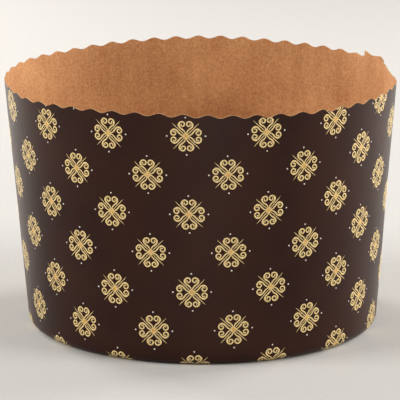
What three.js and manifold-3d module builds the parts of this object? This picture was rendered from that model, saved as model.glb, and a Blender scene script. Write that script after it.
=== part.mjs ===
// Round paper baking mould: a lapped, slightly conical wall with a wavy rim, and a base disc
import * as THREE from 'three';
import { mergeVertices } from 'three/addons/utils/BufferGeometryUtils.js';
import Module from 'manifold-3d';

// Driving dimensions, in millimetres
const height = 95;            // from the table to the middle of the rim's waves
const baseDiameter = 134;     // where the wall's outer face would meet the table
const rimDiameter = 148;      // outer face at the rim
const paper = 0.38;           // thickness of the wall's kraft paper
const heelRadius = 4;         // outer round where the wall turns under
const foldWidth = 12;         // how far the wall's lower edge reaches in under the base
const wavePitch = 8.97;       // knife-cut waves, measured along the rim
const waveHeight = 1.2;       // from trough to crest
const lapWidth = 13.5;        // overlap of the strip's two ends at the rim
const lapFromFront = 154.5;   // along the rim from the front to the free end inside
const lapEaseLength = 40;     // the outer layer comes back to the circle over this length
const glueBite = 0.03;        // how far the glued layers press into each other
const discThickness = 0.55;   // base disc
const discClearance = 0.4;    // between the disc's edge and the start of the heel
const ventDiameter = 3;       // steam holes in the base disc
const ventRingPitch = 15;     // between the rings of steam holes
const ventRings = 3;
const ventsPerRingStep = 6;   // each ring has this many holes more than the one inside it

// Fineness of the facets
const segmentsPerWave = 6;
const heelSegments = 4;
const discSegments = 104;
const ventSegments = 10;

// Values that follow from the sizes
const rimRadius = rimDiameter / 2;
const baseRadius = baseDiameter / 2;
const taper = Math.atan2(rimRadius - baseRadius, height);
const heelReach = heelRadius * Math.tan((Math.PI / 2 - taper) / 2);
const heelCentre = new THREE.Vector2(baseRadius - heelReach, heelRadius);
const foldEdgeRadius = baseRadius - foldWidth;
const lowerEdgeRadius = baseRadius - foldWidth * Math.sin(taper);
const turn = 2 * Math.PI;
const innerEnd = lapFromFront / rimRadius;
const outerEnd = innerEnd - lapWidth / rimRadius;
const seamOpposite = (innerEnd + outerEnd) / 2 - Math.PI;
const lapLift = paper - glueBite;

const wasm = await Module();
wasm.setup();

const wallPaper = new THREE.MeshStandardMaterial({ color: 0x33221d, roughness: 0.42, metalness: 0 });
const kraft = new THREE.MeshStandardMaterial({ color: 0xb97c4e, roughness: 0.85, metalness: 0 });

// Shift of a knife-cut edge along the sheet, for an edge that has this radius before it is folded
function wave(angle, edgeRadius) {
  return waveHeight / 2 * Math.sin(turn * angle * edgeRadius / wavePitch);
}

// Section of the folded sheet, once round: fold edge, heel, rim, and back inside
function wallSection(rimShift, foldShift) {
  const section = [new THREE.Vector2(foldEdgeRadius + foldShift, 0)];
  const heelAngle = (step) => -Math.PI / 2 + (Math.PI / 2 - taper) * step / heelSegments;
  const heelPoint = (radius, step) => new THREE.Vector2(
    heelCentre.x + radius * Math.cos(heelAngle(step)),
    heelCentre.y + radius * Math.sin(heelAngle(step)),
  );
  for (let step = 0; step <= heelSegments; step += 1) section.push(heelPoint(heelRadius, step));
  const rimOuter = new THREE.Vector2(
    rimRadius + rimShift * Math.sin(taper),
    height + rimShift * Math.cos(taper),
  );
  const rimInner = new THREE.Vector2(
    rimOuter.x - paper * Math.cos(taper),
    rimOuter.y + paper * Math.sin(taper),
  );
  section.push(rimOuter, rimInner);
  for (let step = heelSegments; step >= 0; step -= 1) section.push(heelPoint(heelRadius - paper, step));
  section.push(new THREE.Vector2(foldEdgeRadius + foldShift, paper));
  return section;
}

// The outer layer runs over the inner one in the lap and then eases back to the circle
function layerLift(angle) {
  const pastInnerEnd = angle + turn - innerEnd;
  return lapLift * (1 - THREE.MathUtils.smoothstep(pastInnerEnd, 0, lapEaseLength / rimRadius));
}

// A length of the strip between two angles, as a closed solid
function stripBetween(startAngle, endAngle) {
  const stationAngle = wavePitch / rimRadius / segmentsPerWave;
  const stations = Math.round((endAngle - startAngle) / stationAngle);
  const plain = wallSection(0, 0);
  const lathe = new THREE.LatheGeometry([...plain, plain[0]], stations, startAngle, endAngle - startAngle);
  lathe.rotateX(Math.PI / 2);
  const position = lathe.getAttribute('position');
  const faces = Array.from(lathe.getIndex().array);
  const perStation = plain.length + 1;
  for (let station = 0; station <= stations; station += 1) {
    const angle = startAngle + (endAngle - startAngle) * station / stations;
    const section = wallSection(wave(angle, rimRadius), wave(angle, lowerEdgeRadius));
    section.push(section[0]);
    section.forEach((point, index) => {
      const radius = point.x + layerLift(angle);
      const vertex = station * perStation + index;
      position.setXYZ(vertex, radius * Math.sin(angle), -radius * Math.cos(angle), point.y);
    });
    if (station === 0 || station === stations) {
      const cap = THREE.ShapeUtils.triangulateShape(section.slice(0, -1), []);
      const first = station * perStation;
      cap.forEach(([a, b, c]) => {
        const [second, third] = station === 0 ? [b, c] : [c, b];
        faces.push(first + a, first + second, first + third);
      });
    }
  }
  lathe.setIndex(faces);
  return toSolid(lathe);
}

function toSolid(geometry) {
  const bare = geometry.clone();
  bare.deleteAttribute('normal');
  bare.deleteAttribute('uv');
  const merged = mergeVertices(bare);
  return new wasm.Manifold(new wasm.Mesh({
    numProp: 3,
    vertProperties: new Float32Array(merged.getAttribute('position').array),
    triVerts: new Uint32Array(merged.getIndex().array),
  }));
}

function toGeometry(solid) {
  const mesh = solid.getMesh();
  const geometry = new THREE.BufferGeometry();
  geometry.setAttribute('position', new THREE.BufferAttribute(mesh.vertProperties, 3));
  geometry.setIndex(new THREE.BufferAttribute(mesh.triVerts, 1));
  geometry.computeVertexNormals();
  return geometry;
}

function circlePoints(radius, segments, centreX = 0, centreY = 0) {
  return Array.from({ length: segments }, (_, index) => new THREE.Vector2(
    centreX + radius * Math.cos(turn * index / segments),
    centreY + radius * Math.sin(turn * index / segments),
  ));
}

// One strip of paper, rolled up and glued on itself in the lap
function sideWall() {
  const innerHalf = stripBetween(seamOpposite, innerEnd);
  const outerHalf = stripBetween(outerEnd - turn, seamOpposite);
  const wall = new THREE.Mesh(toGeometry(innerHalf.add(outerHalf)), wallPaper);
  wall.name = 'side_wall';
  return wall;
}

// A flat disc that lies on the folded-in edge, with rings of steam holes
function baseDisc() {
  const outline = new THREE.Shape(circlePoints(heelCentre.x - discClearance, discSegments));
  const ventCentres = [new THREE.Vector2(0, 0)];
  for (let ring = 1; ring <= ventRings; ring += 1) {
    ventCentres.push(...circlePoints(ring * ventRingPitch, ventsPerRingStep * ring));
  }
  outline.holes = ventCentres.map((centre) => new THREE.Path(
    circlePoints(ventDiameter / 2, ventSegments, centre.x, centre.y),
  ));
  const sheet = new THREE.ExtrudeGeometry(outline, { depth: discThickness, bevelEnabled: false });
  const disc = new THREE.Mesh(toGeometry(toSolid(sheet)), kraft);
  disc.name = 'base_disc';
  disc.position.z = paper;
  return disc;
}

const mould = new THREE.Group();
mould.add(sideWall(), baseDisc());

export default mould;
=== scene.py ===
from math import atan2, cos, degrees, exp, hypot, pi, radians, sin, tan

import bmesh
import bpy
from mathutils import Matrix, Vector, noise
from mathutils.geometry import interpolate_bezier


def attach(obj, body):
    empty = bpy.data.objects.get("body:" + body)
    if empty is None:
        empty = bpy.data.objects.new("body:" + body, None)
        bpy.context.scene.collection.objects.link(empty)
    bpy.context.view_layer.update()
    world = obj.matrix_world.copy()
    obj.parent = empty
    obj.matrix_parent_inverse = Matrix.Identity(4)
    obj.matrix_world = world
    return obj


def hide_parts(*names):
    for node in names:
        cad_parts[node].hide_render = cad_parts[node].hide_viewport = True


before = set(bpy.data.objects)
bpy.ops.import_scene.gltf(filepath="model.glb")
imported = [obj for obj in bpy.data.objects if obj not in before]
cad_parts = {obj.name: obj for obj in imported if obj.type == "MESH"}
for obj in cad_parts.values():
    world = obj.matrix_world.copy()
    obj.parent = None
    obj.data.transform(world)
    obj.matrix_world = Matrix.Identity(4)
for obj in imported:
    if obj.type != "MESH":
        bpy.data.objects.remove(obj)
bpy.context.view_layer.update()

# A round paper baking mould: dark printed kraft outside, plain kraft inside, wavy cut rim
mm = 0.001
turn = 2 * pi
scene = bpy.context.scene


# Small helpers
def linearColor(hexValue):
    channels = [int(hexValue[i:i + 2], 16) / 255 for i in (1, 3, 5)]
    return [c / 12.92 if c <= 0.04045 else ((c + 0.055) / 1.055) ** 2.4 for c in channels] + [1]


def addNode(tree, kind, settings=(), links=()):
    # a number or a name with a capital is an input socket, any other name is a setting of the node
    item = tree.nodes.new(kind)
    for key, value in dict(settings).items():
        if isinstance(key, int) or key[0].isupper():
            item.inputs[key].default_value = value
        else:
            setattr(item, key, value)
    for key, source in dict(links).items():
        output = source.outputs[0] if hasattr(source, "outputs") else source
        tree.links.new(output, item.inputs[key])
    return item


def newMaterial(name):
    material = bpy.data.materials.new(name)
    material.use_nodes = True
    material.node_tree.nodes.clear()
    return material, material.node_tree


def finishMaterial(tree, settings, links):
    shader = addNode(tree, "ShaderNodeBsdfPrincipled", settings, links)
    addNode(tree, "ShaderNodeOutputMaterial", {}, {"Surface": shader})


def setRamp(ramp, *stops):
    elements = ramp.color_ramp.elements
    while len(elements) < len(stops):
        elements.new(0.5)
    for element, (position, hexValue) in zip(elements, stops):
        element.position = position
        element.color = linearColor(hexValue)


def smoothStep(value, low, high):
    share = min(max((value - low) / (high - low), 0), 1)
    return share * share * (3 - 2 * share)


def alongKnots(knots, place):
    # straight between knots of (place, value)
    for (low, lowValue), (high, highValue) in zip(knots, knots[1:]):
        if place <= high:
            return lowValue + (highValue - lowValue) * max(place - low, 0) / (high - low)
    return knots[-1][1]


def addPiece(bm, name, materials, node):
    mesh = bpy.data.meshes.new(name)
    bm.to_mesh(mesh)
    bm.free()
    piece = bpy.data.objects.new(name, mesh)
    scene.collection.objects.link(piece)
    for material in materials:
        mesh.materials.append(material)
    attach(piece, "root")
    if node:
        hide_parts(node)
    print(name, len(mesh.polygons), "faces")
    return piece


# The rolled sheet, sizes in millimetres
sheet = {
    "height": 95,
    "baseDiameter": 134,
    "rimDiameter": 148,
    "paper": 0.38,
    "heelRadius": 4,
    "foldWidth": 12,
    "wavePitch": 8.97,
    "waveHeight": 1.2,
    "lapWidth": 13.5,
    "lapFromFront": 154.5,
    "lapEaseLength": 40,
    "lapFoldEase": 0.1,         # radians in which the lap's upper layer climbs on the lower one
    "glueGap": 0.01,            # between the two layers of the lap
    "unevenness": 0.16,         # how far the rolled paper strays from a true cone
    "unevenLength": 34,         # size of those swells
    "unevenRise": 25,           # height at which they are in full
    # where the strip runs high or low once it is rolled:
    # degrees along it, spread, millimetres at the rim
    "drift": (
        (-247, 7, 1.9), (-184, 14, 0.45), (-135, 17, -0.8), (-95, 20, -0.4), (-62, 15, -1.2),
        (-12, 24, 0.85), (52, 24, -0.6), (98, 13, -1.0), (110.5, 3.5, 1.4), (119, 6.5, 2.5),
    ),
    "driftRise": (-10, 45),     # heights between which it grows
    "driftFoot": 8,             # height below which it also fades, so that the mould stands flat
    # where the wall stands out or in:
    # degrees, spread, millimetres at the rim, height where it crosses zero
    "lean": ((-92, 38, 0.95, 46), (97, 8, -1.0, 10), (119, 5, -0.9, -60)),
    # where the cut edge's waves are shallower: degrees, spread, share of their height lost
    "waveFade": ((-90, 42, 0.4), (97, 11, 0.85), (120, 12, 0.5)),
    "gatherPitch": 4.6,         # small gathers of the folded-in edge
    "gatherHeight": 0.3,
    "gatherStart": 0.6,         # share of the heel that has none
    "gatherWander": 5,          # radians by which their spacing strays
    "printClearance": 0.06,     # the ring's paper stays this far above the table, on its ink
    "clearanceRun": 3,          # length of heel over which it gets there
    "columnsPerWave": 12,
    "wallRows": 28,
    "heelRows": 8,
    "foldRows": 8,
}
rimRadius = sheet["rimDiameter"] / 2
baseRadius = sheet["baseDiameter"] / 2
taper = atan2(rimRadius - baseRadius, sheet["height"])
heelReach = sheet["heelRadius"] * tan((pi / 2 - taper) / 2)
heelCentre = baseRadius - heelReach
wallLength = hypot(sheet["height"], rimRadius - baseRadius) - heelReach
heelLength = sheet["heelRadius"] * (pi / 2 - taper)
heelEnd = wallLength + heelLength
foldLength = heelCentre - (baseRadius - sheet["foldWidth"])
sheetLength = heelEnd + foldLength
lowerEdgeRadius = baseRadius - sheet["foldWidth"] * sin(taper)
innerEnd = sheet["lapFromFront"] / rimRadius
outerEnd = innerEnd - sheet["lapWidth"] / rimRadius
# the outer layer's free end, reached by way of the left and the back
stripStart = outerEnd - turn


def fromFront(angle):
    # the same direction within half a turn of the front
    return (angle + pi) % turn - pi


def bump(angle, centre, spread):
    return exp(-((degrees(angle) - centre) / spread) ** 2)


def edgeWave(angle, edgeRadius):
    # shift of a knife-cut edge along the sheet, for an edge of this radius before it is folded
    fade = sum(share * bump(fromFront(angle), centre, spread)
               for centre, spread, share in sheet["waveFade"])
    swing = sin(turn * angle * edgeRadius / sheet["wavePitch"])
    return sheet["waveHeight"] / 2 * (1 - fade) * swing


def layerLift(angle):
    # the outer layer runs over the inner one in the lap and then eases back to the circle
    eased = smoothStep(angle + turn - innerEnd, 0, sheet["lapEaseLength"] / rimRadius)
    return (sheet["paper"] + sheet["glueGap"]) * (1 - eased)


def upperLayer(angle):
    # 1 where the strip is the lap's inner layer, which in the fold lies on top
    return smoothStep(angle, outerEnd - sheet["lapFoldEase"], outerEnd)


def sectionAt(distance):
    # radius, height and outward normal of the outer face, by the distance down from the rim
    if distance < wallLength:
        radius = rimRadius - distance * sin(taper)
        return radius, sheet["height"] - distance * cos(taper), cos(taper), -sin(taper)
    if distance < heelEnd:
        tilt = -taper - (distance - wallLength) / sheet["heelRadius"]
        radius = heelCentre + sheet["heelRadius"] * cos(tilt)
        return radius, sheet["heelRadius"] * (1 + sin(tilt)), cos(tilt), sin(tilt)
    return heelCentre - (distance - heelEnd), 0, 0, -1


def gather(angle, distance):
    # narrow radial tucks grow from the heel to the folded-in edge, but not in the upper layer,
    # where they would come through the disc
    wander = sheet["gatherWander"] * noise.noise(Vector((cos(angle), sin(angle), 7)) * 6)
    tuck = (0.5 + 0.5 * cos(angle * baseRadius * turn / sheet["gatherPitch"] + wander)) ** 3
    start = wallLength + heelLength * sheet["gatherStart"]
    tuckHeight = sheet["gatherHeight"] * tuck * smoothStep(distance, start, sheetLength)
    lifted = smoothStep(distance, heelEnd - sheet["clearanceRun"], heelEnd)
    return tuckHeight * (1 - upperLayer(angle)) + sheet["printClearance"] * lifted


def drift(angle, height):
    # the paper isn't rolled quite true: it runs up and down, and is level again at the heel
    lift = sum(amount * bump(angle, centre, spread) for centre, spread, amount in sheet["drift"])
    lift *= smoothStep(height, *sheet["driftRise"])
    return lift * smoothStep(height, 0, sheet["driftFoot"])


def lean(angle, height):
    # and it isn't quite round: it stands out or in, like a hinged panel
    return sum(amount * bump(fromFront(angle), centre, spread)
               * (height - level) / (sheet["height"] - level)
               for centre, spread, amount, level in sheet["lean"])


def onSheet(angle, distance, proud=0):
    # a point of the rolled sheet in metres, that many millimetres proud of its printed face
    radius, height, outward, upward = sectionAt(distance)
    radius += lean(angle, height)
    height += drift(angle, height)
    place = Vector((sin(angle), -cos(angle), height / rimRadius))
    swell = noise.noise(place * (rimRadius / sheet["unevenLength"]))
    proud += sheet["unevenness"] * swell * smoothStep(height, 0, sheet["unevenRise"])
    radius += layerLift(angle) + outward * proud
    height += upward * proud + gather(angle, distance)
    height += sheet["paper"] * min(upward, 0) ** 2 * upperLayer(angle)
    return Vector((radius * sin(angle), -radius * cos(angle), height)) * mm


def flatToSheet(x, y):
    # the cone's flat blank: the rim's front point is the origin and y runs up along the wall
    apexToRim = rimRadius / sin(taper)
    angle = atan2(x, y + apexToRim) / sin(taper)
    return angle, apexToRim - hypot(x, y + apexToRim)


# Materials
def printedPaper():
    # Coated kraft, flexo printed in dark chocolate: a satin skin over the faint unevenness of fibre
    material, tree = newMaterial("flexoPrintedKraft")
    place = addNode(tree, "ShaderNodeTexCoord").outputs["Object"]
    cloud = addNode(tree, "ShaderNodeTexNoise",
                    {"Scale": 1 / (22 * mm), "Detail": 3}, {"Vector": place})
    fibre = addNode(tree, "ShaderNodeTexNoise",
                    {"Scale": 1 / (0.5 * mm), "Detail": 4}, {"Vector": place})
    tint = addNode(tree, "ShaderNodeValToRGB", {}, {0: cloud})
    setRamp(tint, (0.35, "#29130d"), (0.65, "#31180f"))
    gloss = addNode(tree, "ShaderNodeMapRange", {"To Min": 0.3, "To Max": 0.4}, {"Value": fibre})
    relief = addNode(tree, "ShaderNodeBump",
                     {"Strength": 0.12, "Distance": 0.05 * mm}, {"Height": fibre})
    finishMaterial(tree, {"IOR": 1.5, "Specular IOR Level": 0.15},
                   {"Base Color": tint, "Roughness": gloss, "Normal": relief})
    return material


def plainKraft(name, darkHex, lightHex):
    # Unprinted kraft: its long brown fibres give a dry, fine mottle with faint machine streaks
    material, tree = newMaterial(name)
    place = addNode(tree, "ShaderNodeTexCoord").outputs["Object"]
    drawn = addNode(tree, "ShaderNodeMapping", {"Scale": (1, 1, 0.12)}, {"Vector": place})
    streak = addNode(tree, "ShaderNodeTexNoise",
                     {"Scale": 1 / (3 * mm), "Detail": 3}, {"Vector": drawn})
    fibre = addNode(tree, "ShaderNodeTexNoise",
                    {"Scale": 1 / (0.9 * mm), "Detail": 5}, {"Vector": place})
    cloud = addNode(tree, "ShaderNodeTexNoise",
                    {"Scale": 1 / (16 * mm), "Detail": 2}, {"Vector": place})
    streakShare = addNode(tree, "ShaderNodeMath", {"operation": "MULTIPLY", 1: 0.16}, {0: streak})
    fibreShare = addNode(tree, "ShaderNodeMath", {"operation": "MULTIPLY_ADD", 1: 0.55},
                         {0: fibre, 2: streakShare})
    mottle = addNode(tree, "ShaderNodeMath", {"operation": "MULTIPLY_ADD", 1: 0.29},
                     {0: cloud, 2: fibreShare})
    tint = addNode(tree, "ShaderNodeValToRGB", {}, {0: mottle})
    setRamp(tint, (0.33, darkHex), (0.67, lightHex))
    relief = addNode(tree, "ShaderNodeBump",
                     {"Strength": 0.25, "Distance": 0.08 * mm}, {"Height": mottle})
    finishMaterial(tree, {"Roughness": 0.82, "IOR": 1.5, "Specular IOR Level": 0.3},
                   {"Base Color": tint, "Normal": relief})
    return material


def goldInk():
    # Opaque gold ink: creamy along a line's squeezed-out edges, ochre where the brown shows through
    material, tree = newMaterial("goldPrintingInk")
    coordinates = addNode(tree, "ShaderNodeTexCoord")
    across = addNode(tree, "ShaderNodeSeparateXYZ", {}, {0: coordinates.outputs["UV"]}).outputs["Y"]
    lay = addNode(tree, "ShaderNodeTexNoise", {"Scale": 1 / (0.8 * mm), "Detail": 2},
                  {"Vector": coordinates.outputs["Object"]})
    share = addNode(tree, "ShaderNodeMath",
                    {"operation": "MULTIPLY_ADD", 1: 0.5}, {0: lay, 2: across})
    tint = addNode(tree, "ShaderNodeValToRGB", {}, {0: share})
    setRamp(tint, (0.3, "#b47c14"), (0.85, "#ffe9aa"))
    finishMaterial(tree, {"Roughness": 0.42, "IOR": 1.5, "Specular IOR Level": 0.35},
                   {"Base Color": tint})
    return material


def creamInk():
    # Opaque cream ink of the small dots, slightly broken by the fibre under it
    material, tree = newMaterial("creamPrintingInk")
    place = addNode(tree, "ShaderNodeTexCoord").outputs["Object"]
    lay = addNode(tree, "ShaderNodeTexNoise",
                  {"Scale": 1 / (0.5 * mm), "Detail": 2}, {"Vector": place})
    tint = addNode(tree, "ShaderNodeValToRGB", {}, {0: lay})
    setRamp(tint, (0.35, "#c4b6ab"), (0.6, "#e2d8ce"))
    finishMaterial(tree, {"Roughness": 0.45, "IOR": 1.5, "Specular IOR Level": 0.35},
                   {"Base Color": tint})
    return material


def cutEdge():
    # The sheet's knife-cut edge: bare pale fibre without print or coating
    material, tree = newMaterial("cutKraftEdge")
    place = addNode(tree, "ShaderNodeTexCoord").outputs["Object"]
    fibre = addNode(tree, "ShaderNodeTexNoise",
                    {"Scale": 1 / (0.6 * mm), "Detail": 3}, {"Vector": place})
    tint = addNode(tree, "ShaderNodeValToRGB", {}, {0: fibre})
    setRamp(tint, (0.35, "#b5875a"), (0.65, "#d9b284"))
    finishMaterial(tree, {"Roughness": 0.9, "IOR": 1.5, "Specular IOR Level": 0.2},
                   {"Base Color": tint})
    return material


printMaterial = printedPaper()
kraftMaterial = plainKraft("plainKraft", "#ae7448", "#dca874")
discMaterial = plainKraft("plainKraftBoard", "#a0653e", "#c88e60")
edgeMaterial = cutEdge()
goldMaterial = goldInk()
creamMaterial = creamInk()
print("materials")


# The wall: a flat grid is the blank, which is rolled, folded under and given its thickness
def rowDistances():
    spans = ((0, wallLength, sheet["wallRows"]), (wallLength, heelLength, sheet["heelRows"]),
             (heelEnd, foldLength, sheet["foldRows"]))
    inside = [start + length * i / rows for start, length, rows in spans for i in range(rows)]
    return inside + [sheetLength]


def rolledSheet():
    distances = rowDistances()
    rows = len(distances) - 1
    waves = (innerEnd - stripStart) * rimRadius / sheet["wavePitch"]
    columns = round(waves * sheet["columnsPerWave"])
    bm = bmesh.new()
    bmesh.ops.create_grid(bm, x_segments=columns, y_segments=rows, size=0.5)
    uvLayer = bm.loops.layers.uv.new("blank")
    for vertex in bm.verts:
        angle = stripStart + (innerEnd - stripStart) * (vertex.co.x + 0.5)
        row = round((0.5 - vertex.co.y) * rows)
        distance = distances[row]
        if row == 0:
            distance -= edgeWave(angle, rimRadius)
        if row == rows:
            distance -= edgeWave(angle, lowerEdgeRadius)
        for loop in vertex.link_loops:
            loop[uvLayer].uv = (angle * rimRadius * mm, -distance * mm)
        vertex.co = onSheet(angle, distance)
    for face in bm.faces:
        face.smooth = True
    for edge in bm.edges:
        # sharp, so that each face is shaded by itself up to the cut
        edge.smooth = not edge.is_boundary
    bm.normal_update()
    return bm


wall = addPiece(rolledSheet(), "printed_wall", (printMaterial, kraftMaterial, edgeMaterial),
                "side_wall")
thickness = wall.modifiers.new("paper thickness", "SOLIDIFY")
thickness.thickness = sheet["paper"] * mm
thickness.offset = -1
thickness.use_even_offset = True
thickness.material_offset = 1
thickness.material_offset_rim = 2


# The print: scrollwork medallions in a staggered lattice, as a thin film of gold ink
medallion = {
    "acrossPitch": 29.65,       # between medallions of one row
    "downPitch": 29.8,          # between rows of the same stagger
    "rowRise": 2.15,            # degrees that the rows rise to the right
    "first": (-5.75, -7.55),    # place of a medallion in the flat blank
    "discRadius": 1.05,
    "stem": ((0.15, 0.7), (0.35, 2.65), (2.3, 2.8), (2.48, 3.85)),
    "curlCentre": (1.27, 4.5),
    "curlRadius": ((-28, 1.38), (30, 1.1), (90, 0.98), (180, 0.88), (270, 0.8), (345, 0.5),
                   (405, 0.22)),
    "strokeWidth": ((0, 0.32), (0.2, 0.46), (0.36, 0.5), (0.42, 0.72), (0.5, 0.5), (0.8, 0.46),
                    (1, 0.34)),
    "rayReach": (0.9, 6.9),
    "rayWidth": ((0, 0.22), (0.4, 0.26), (0.75, 0.22), (1, 0.06)),
    "dotReach": 7.05,
    "dotRadius": 0.31,
    "filmEdge": 0.012,          # heights of the ink above the paper
    "filmCrown": 0.05,
    "stemPoints": 9,
    "curlSteps": 22,
    "scrollSegments": 30,
    "raySegments": 8,
    "discSegments": 20,
    "dotSegments": 10,
    "discTone": 0.2,            # the disc's place across a stroke, 0 being its ochre middle
    "columns": (-26, 14),       # steps of half a pitch from the first place
    "rows": (-10, 18),
    "margin": 8,                # reach of a medallion past the edge of the sheet
    "trim": 0.05,               # bare paper along the cut edges
}


def strokeOnPath(bm, uvLayer, path, widths, segments):
    # a strip two faces wide is bent along the path, a little higher along its middle
    grid = bmesh.ops.create_grid(bm, x_segments=segments, y_segments=2, size=0.5)
    lengths = [0]
    for start, end in zip(path, path[1:]):
        lengths.append(lengths[-1] + (end - start).length)
    for vertex in grid["verts"]:
        share, across = vertex.co.x + 0.5, vertex.co.y * 2
        along = share * lengths[-1]
        index = max(i for i, length in enumerate(lengths) if length <= along + 1e-9)
        index = min(index, len(path) - 2)
        tangent = (path[min(index + 2, len(path) - 1)] - path[max(index - 1, 0)]).normalized()
        part = (along - lengths[index]) / (lengths[index + 1] - lengths[index])
        point = path[index].lerp(path[index + 1], part)
        side = Vector((-tangent.y, tangent.x)) * across * alongKnots(widths, share) / 2
        rise = (medallion["filmCrown"] - medallion["filmEdge"]) * (1 - across ** 2)
        vertex.co = (point.x + side.x, point.y + side.y, medallion["filmEdge"] + rise)
        for loop in vertex.link_loops:
            loop[uvLayer].uv = (along, abs(across))
    return grid["verts"]


def scrollPath():
    knots = [Vector(knot).to_3d() for knot in medallion["stem"]]
    path = [point.to_2d() for point in interpolate_bezier(*knots, medallion["stemPoints"])]
    curl = medallion["curlRadius"]
    for step in range(1, medallion["curlSteps"] + 1):
        angle = curl[0][0] + (curl[-1][0] - curl[0][0]) * step / medallion["curlSteps"]
        toCurl = Vector((cos(radians(angle)), sin(radians(angle))))
        path.append(Vector(medallion["curlCentre"]) + alongKnots(curl, angle) * toCurl)
    return path


def flatMedallion():
    bm = bmesh.new()
    uvLayer = bm.loops.layers.uv.new("stroke")
    strokeOnPath(bm, uvLayer, scrollPath(), medallion["strokeWidth"], medallion["scrollSegments"])
    bmesh.ops.mirror(bm, geom=bm.verts[:] + bm.edges[:] + bm.faces[:], axis="X", merge_dist=0)
    near, far = medallion["rayReach"]
    segments = medallion["raySegments"]
    diagonal = Vector((1, 1)).normalized()
    ray = [diagonal * (near + (far - near) * i / segments) for i in range(segments + 1)]
    strokeOnPath(bm, uvLayer, ray, medallion["rayWidth"], segments)
    quarter = bm.verts[:] + bm.edges[:] + bm.faces[:]
    for _ in range(3):
        quarter = bmesh.ops.duplicate(bm, geom=quarter)["geom"]
        corners = [item for item in quarter if isinstance(item, bmesh.types.BMVert)]
        bmesh.ops.rotate(bm, verts=corners, matrix=Matrix.Rotation(pi / 2, 3, "Z"))
    middle = bmesh.ops.create_circle(bm, cap_ends=True, cap_tris=True,
                                     segments=medallion["discSegments"],
                                     radius=medallion["discRadius"])
    for vertex in middle["verts"]:
        atCentre = vertex.co.length < medallion["discRadius"] / 2
        vertex.co.z = medallion["filmCrown" if atCentre else "filmEdge"]
        for loop in vertex.link_loops:
            loop[uvLayer].uv = (0, medallion["discTone"])
    bm.normal_update()
    for face in bm.faces:
        if face.normal.z < 0:
            face.normal_flip()
    return bm


def flatDots():
    bm = bmesh.new()
    out = Matrix.Translation((medallion["dotReach"], 0, 0))
    for quarter in range(4):
        move = Matrix.Rotation(quarter * pi / 2, 4, "Z") @ out
        dot = bmesh.ops.create_circle(bm, cap_ends=True, cap_tris=True,
                                      segments=medallion["dotSegments"],
                                      radius=medallion["dotRadius"], matrix=move)
        for vertex in dot["verts"]:
            atCentre = (vertex.co - move.translation).length < medallion["dotRadius"] / 2
            vertex.co.z = medallion["filmCrown" if atCentre else "filmEdge"]
    return bm


def latticePlaces():
    # flat places of all the medallions that reach the strip
    rise = Matrix.Rotation(radians(medallion["rowRise"]), 2)
    margin = medallion["margin"]
    turnMargin = margin / baseRadius
    for column in range(*medallion["columns"]):
        for row in range(*medallion["rows"]):
            if (column + row) % 2:
                continue
            steps = Vector((column * medallion["acrossPitch"], -row * medallion["downPitch"])) / 2
            centre = Vector(medallion["first"]) + rise @ steps
            angle, distance = flatToSheet(*centre)
            inTurn = stripStart - turnMargin < angle < outerEnd + turnMargin
            if inTurn and -margin < distance < sheetLength + margin:
                yield centre, rise


def printOnSheet(flat):
    # copies the flat shape to every place of the lattice, rolls it up and trims it at the edges
    bm = bmesh.new()
    stamp = bpy.data.meshes.new("stamp")
    flat.to_mesh(stamp)
    flat.free()
    trim = medallion["trim"]
    lost = set()
    for centre, rise in latticePlaces():
        before = len(bm.verts)
        bm.from_mesh(stamp)
        bm.verts.ensure_lookup_table()
        outside = set()
        for vertex in bm.verts[before:]:
            angle, distance = flatToSheet(*(centre + rise @ vertex.co.to_2d()))
            highest = trim - edgeWave(angle, rimRadius)
            lowest = sheetLength - trim - edgeWave(angle, lowerEdgeRadius)
            kept = (min(max(angle, stripStart + trim / rimRadius), outerEnd),
                    min(max(distance, highest), lowest))
            if kept != (angle, distance):
                outside.add(vertex)
            vertex.co = onSheet(*kept, vertex.co.z)
        lost |= {face for vertex in outside for face in vertex.link_faces
                 if all(corner in outside for corner in face.verts)}
    bmesh.ops.delete(bm, geom=list(lost), context="FACES")
    bpy.data.meshes.remove(stamp)
    bmesh.ops.dissolve_degenerate(bm, edges=bm.edges, dist=0.001 * mm)
    for face in bm.faces:
        face.smooth = True
    return bm


addPiece(printOnSheet(flatMedallion()), "gold_print", (goldMaterial,), None)
addPiece(printOnSheet(flatDots()), "cream_dots", (creamMaterial,), None)


# The base: a disc of plain kraft board with rings of steam holes, on top of the folded-in edge
disc = {
    "thickness": 0.55,
    "clearance": 0.4,           # between its edge and the start of the heel
    "ventDiameter": 3,
    "ventRingPitch": 15,
    "ventRings": 3,
    "ventsPerRingStep": 6,
    "segments": 180,
    "ventSegments": 20,
}


def ventedDisc():
    bm = bmesh.new()
    bmesh.ops.create_circle(bm, segments=disc["segments"],
                            radius=(heelCentre - disc["clearance"]) * mm)
    for ring in range(disc["ventRings"] + 1):
        count = max(disc["ventsPerRingStep"] * ring, 1)
        for vent in range(count):
            spin = Matrix.Rotation(turn * vent / count, 4, "Z")
            place = spin @ Matrix.Translation((ring * disc["ventRingPitch"] * mm, 0, 0))
            bmesh.ops.create_circle(bm, segments=disc["ventSegments"], matrix=place,
                                    radius=disc["ventDiameter"] / 2 * mm)
    bmesh.ops.triangle_fill(bm, use_beauty=True, use_dissolve=False, edges=bm.edges)
    top = bmesh.ops.extrude_face_region(bm, geom=bm.faces[:])
    raised = [item for item in top["geom"] if isinstance(item, bmesh.types.BMVert)]
    bmesh.ops.translate(bm, verts=raised, vec=(0, 0, disc["thickness"] * mm))
    bmesh.ops.translate(bm, verts=bm.verts, vec=(0, 0, sheet["paper"] * mm))
    bmesh.ops.recalc_face_normals(bm, faces=bm.faces)
    return bm


addPiece(ventedDisc(), "vented_base", (discMaterial,), "base_disc")


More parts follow.
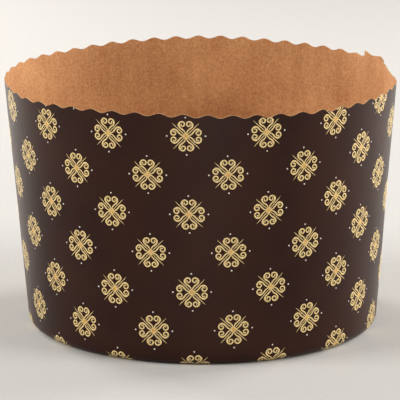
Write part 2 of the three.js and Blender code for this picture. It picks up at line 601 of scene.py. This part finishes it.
# The stage: a plain pale floor, a soft studio and the camera at the photograph's angle
studio = {
    "floorSize": 6,
    "floorHex": "#cfcdca",
    "floorGrainHex": "#cac8c5",
    "worldHex": "#f2f1ef",
    "worldStrength": 0.25,
    "lampHex": "#fffcf8",
    "lens": 348.13,
    "distance": 1.480,
    "elevation": 13.739,
    "roll": 0.116,
    "target": (-0.00064, 0, 0.04662),
    # name, place, point it is aimed at, width and height, watts
    "lamps": (
        ("front right softbox", (1.07, -0.43, 0.7), (0, 0, 0.04), (0.6, 0.6), 9.5),
        ("front left softbox", (-1.1, -0.35, 0.65), (0, 0, 0.04), (0.6, 0.6), 11.5),
        ("left softbox", (-0.65, 0.75, 0.35), (0, 0, 0.05), (0.4, 0.6), 8),
        ("low left card", (-0.62, 0.65, 0.07), (0, 0, 0.05), (0.42, 0.14), 2.2),
        ("low front card", (0.05, -0.6, 0.05), (0, 0, 0.04), (0.35, 0.1), 0.6),
        ("right softbox", (0.85, 0.5, 0.35), (0, 0, 0.05), (0.5, 0.7), 11),
    ),
}


def addFloor():
    # Seamless paper sweep of a photographer's table
    material, tree = newMaterial("studioPaper")
    place = addNode(tree, "ShaderNodeTexCoord").outputs["Object"]
    grain = addNode(tree, "ShaderNodeTexNoise",
                    {"Scale": 1 / (2 * mm), "Detail": 2}, {"Vector": place})
    tint = addNode(tree, "ShaderNodeValToRGB", {}, {0: grain})
    setRamp(tint, (0.2, studio["floorGrainHex"]), (0.8, studio["floorHex"]))
    finishMaterial(tree, {"Roughness": 0.9, "Specular IOR Level": 0.2}, {"Base Color": tint})
    bm = bmesh.new()
    bmesh.ops.create_grid(bm, x_segments=1, y_segments=1, size=studio["floorSize"] / 2)
    mesh = bpy.data.meshes.new("studio_floor")
    bm.to_mesh(mesh)
    bm.free()
    floor = bpy.data.objects.new("studio_floor", mesh)
    scene.collection.objects.link(floor)
    mesh.materials.append(material)


def addWorld():
    # dim and even on the object, pale where the camera sees it
    world = bpy.data.worlds.new("studio")
    scene.world = world
    world.use_nodes = True
    tree = world.node_tree
    tree.nodes.clear()
    path = addNode(tree, "ShaderNodeLightPath")
    seen = addNode(tree, "ShaderNodeMath", {"operation": "MAXIMUM"},
                   {0: path.outputs["Is Camera Ray"], 1: path.outputs["Is Transmission Ray"]})
    colour = linearColor(studio["worldHex"])
    dim = addNode(tree, "ShaderNodeBackground",
                  {"Color": colour, "Strength": studio["worldStrength"]})
    pale = addNode(tree, "ShaderNodeBackground", {"Color": colour, "Strength": 1})
    both = addNode(tree, "ShaderNodeMixShader", {}, {0: seen, 1: dim, 2: pale})
    addNode(tree, "ShaderNodeOutputWorld", {}, {"Surface": both})


def addLamp(name, place, aim, size, energy):
    lamp = bpy.data.lights.new(name, "AREA")
    lamp.color = linearColor(studio["lampHex"])[:3]
    lamp.shape = "RECTANGLE"
    lamp.size, lamp.size_y = size
    lamp.energy = energy
    holder = bpy.data.objects.new(name, lamp)
    scene.collection.objects.link(holder)
    holder.location = place
    holder.rotation_euler = (Vector(aim) - Vector(place)).to_track_quat("-Z", "Y").to_euler()


def addCamera():
    lens = bpy.data.cameras.new("camera")
    lens.sensor_width = 36
    lens.lens = studio["lens"]
    lens.clip_start, lens.clip_end = 0.05, 50
    camera = bpy.data.objects.new("camera", lens)
    scene.collection.objects.link(camera)
    tilt = radians(studio["elevation"])
    place = Vector(studio["target"]) + studio["distance"] * Vector((0, -cos(tilt), sin(tilt)))
    camera.matrix_world = (Matrix.Translation(place) @ Matrix.Rotation(pi / 2 - tilt, 4, "X")
                           @ Matrix.Rotation(radians(studio["roll"]), 4, "Z"))
    scene.camera = camera


addFloor()
addWorld()
addCamera()
for lampRow in studio["lamps"]:
    addLamp(*lampRow)
scene.view_settings.view_transform = "Standard"
print("stage")
